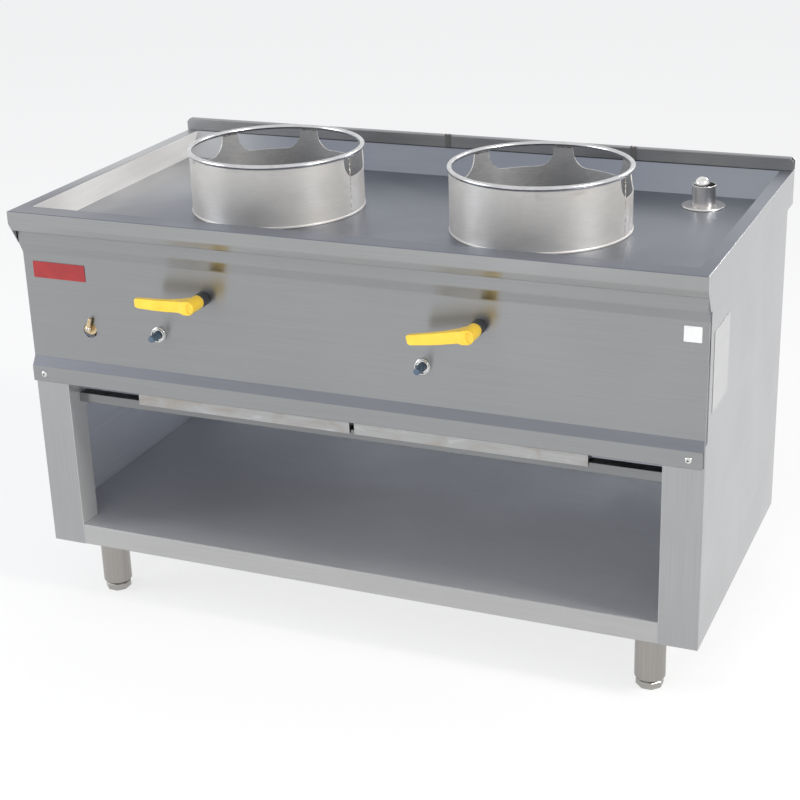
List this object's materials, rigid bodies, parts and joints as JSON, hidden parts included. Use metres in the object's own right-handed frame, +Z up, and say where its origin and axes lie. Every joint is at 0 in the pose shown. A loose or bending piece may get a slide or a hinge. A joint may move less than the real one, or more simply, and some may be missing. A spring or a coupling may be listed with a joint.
{
  "type": "wok range",
  "caption": "Free-standing gas wok range: sunken wash-down top with loose wok rings and an overflow standpipe, front lever valves, push igniters, and an open legged cabinet with drip trays.",
  "frame": {"origin": "centre of the bounding box's base: on the floor, midway between the sides, and midway between the lever noses and the back of the upstand", "axes": "+X to the right of someone facing the range, +Y from the front to the back, +Z up"},
  "size_m": [1.4, 0.775, 0.9373],
  "materials": {
    "stainless": "fine satin sheet, blasted on the worktop",
    "galvanised": "dull zinc-coated sheet and tube",
    "polished_steel": "polished",
    "cast_iron": "as cast, matt",
    "brass": "turned, slightly dulled",
    "yellow_enamel": "gloss enamel on cast metal",
    "black_plastic": "matt moulded",
    "slate_plastic": "semi-gloss moulded",
    "ceramic": "glazed ceramic insulator"
  },
  "bodies": {
    "cabinet": {"worktop": "stainless", "splashback": "stainless", "front_panel": "stainless", "side_panel_left": "stainless", "side_panel_right": "stainless", "bottom_shelf": "stainless", "tray_rail_front": "stainless", "splash_clip_left": "galvanised", "splash_clip_right": "galvanised", "back_panel": "galvanised", "tray_rail_rear": "galvanised", "leg_front_left": "galvanised", "leg_front_right": "galvanised", "leg_rear_left": "galvanised", "leg_rear_right": "galvanised", "burner_strap_left": "galvanised", "burner_strap_right": "galvanised", "gas_manifold": "galvanised", "igniter_bezel_left": "polished_steel", "igniter_bezel_right": "polished_steel", "drain_socket": "polished_steel", "burner_body_left": "cast_iron", "burner_body_right": "cast_iron", "mixing_tube_left": "cast_iron", "mixing_tube_right": "cast_iron", "gas_valve_left": "brass", "gas_valve_right": "brass", "supply_pipe_left": "brass", "supply_pipe_right": "brass", "pilot_cock_body": "brass", "pilot_pipe": "brass", "pilot_burner_left": "brass", "pilot_burner_right": "brass", "lever_collar_left": "black_plastic", "lever_collar_right": "black_plastic", "ignition_lead_left": "black_plastic", "ignition_lead_right": "black_plastic", "igniter_body_left": "slate_plastic", "igniter_body_right": "slate_plastic", "spark_electrode_left": "ceramic", "spark_electrode_right": "ceramic"},
    "left_lever": {"valve_lever_left": "yellow_enamel", "valve_stem_left": "stainless"},
    "right_lever": {"valve_lever_right": "yellow_enamel", "valve_stem_right": "stainless"},
    "left_button": {"igniter_button_left": "slate_plastic"},
    "right_button": {"igniter_button_right": "slate_plastic"},
    "pilot_lever": {"pilot_cock_lever": "brass"},
    "left_tray": {"drip_tray_left": "stainless"},
    "right_tray": {"drip_tray_right": "stainless"},
    "left_ring": {"wok_ring_left": "stainless"},
    "right_ring": {"wok_ring_right": "stainless"},
    "left_crown": {"burner_crown_left": "cast_iron"},
    "right_crown": {"burner_crown_right": "cast_iron"},
    "overflow_pipe": {"standpipe": "polished_steel", "standpipe_knob": "polished_steel"},
    "front_left_foot": {"foot_front_left": "stainless"},
    "front_right_foot": {"foot_front_right": "stainless"},
    "rear_left_foot": {"foot_rear_left": "stainless"},
    "rear_right_foot": {"foot_rear_right": "stainless"}
  },
  "joints": [
    {"name": "left_lever_turn", "type": "hinge", "parent": "cabinet", "child": "left_lever", "pos_m": [-0.289, -0.343, 0.711], "axis": [0, 1, 0], "range_deg": [-88.5, 1.5]},
    {"name": "right_lever_turn", "type": "hinge", "parent": "cabinet", "child": "right_lever", "pos_m": [0.277, -0.343, 0.716], "axis": [0, 1, 0], "range_deg": [-80.2, 9.8]},
    {"name": "pilot_lever_turn", "type": "hinge", "parent": "cabinet", "child": "pilot_lever", "pos_m": [-0.5565, -0.3225, 0.6205], "axis": [0, 1, 0], "range_deg": [-16.5, 73.5]},
    {"name": "left_button_push", "type": "slide", "parent": "cabinet", "child": "left_button", "axis": [0, 1, 0], "range_m": [0, 0.006], "stiffness_N_per_m": 800, "springref_m": -0.001},
    {"name": "right_button_push", "type": "slide", "parent": "cabinet", "child": "right_button", "axis": [0, 1, 0], "range_m": [0, 0.006], "stiffness_N_per_m": 800, "springref_m": -0.001},
    {"name": "left_tray_slide", "type": "slide", "parent": "cabinet", "child": "left_tray", "axis": [0, -1, 0], "range_m": [0, 0.4]},
    {"name": "right_tray_slide", "type": "slide", "parent": "cabinet", "child": "right_tray", "axis": [0, -1, 0], "range_m": [0, 0.4]},
    {"name": "left_ring_lift", "type": "slide", "parent": "cabinet", "child": "left_ring", "axis": [0, 0, 1], "range_m": [0, 0.16]},
    {"name": "right_ring_lift", "type": "slide", "parent": "cabinet", "child": "right_ring", "axis": [0, 0, 1], "range_m": [0, 0.16]},
    {"name": "left_crown_lift", "type": "slide", "parent": "cabinet", "child": "left_crown", "axis": [0, 0, 1], "range_m": [0, 0.2]},
    {"name": "right_crown_lift", "type": "slide", "parent": "cabinet", "child": "right_crown", "axis": [0, 0, 1], "range_m": [0, 0.2]},
    {"name": "overflow_pipe_lift", "type": "slide", "parent": "cabinet", "child": "overflow_pipe", "axis": [0, 0, 1], "range_m": [0, 0.12]},
    {"name": "front_left_foot_level", "type": "slide", "parent": "cabinet", "child": "front_left_foot", "axis": [0, 0, -1], "range_m": [0, 0.025]},
    {"name": "front_right_foot_level", "type": "slide", "parent": "cabinet", "child": "front_right_foot", "axis": [0, 0, -1], "range_m": [0, 0.025]},
    {"name": "rear_left_foot_level", "type": "slide", "parent": "cabinet", "child": "rear_left_foot", "axis": [0, 0, -1], "range_m": [0, 0.025]},
    {"name": "rear_right_foot_level", "type": "slide", "parent": "cabinet", "child": "rear_right_foot", "axis": [0, 0, -1], "range_m": [0, 0.025]}
  ]
}
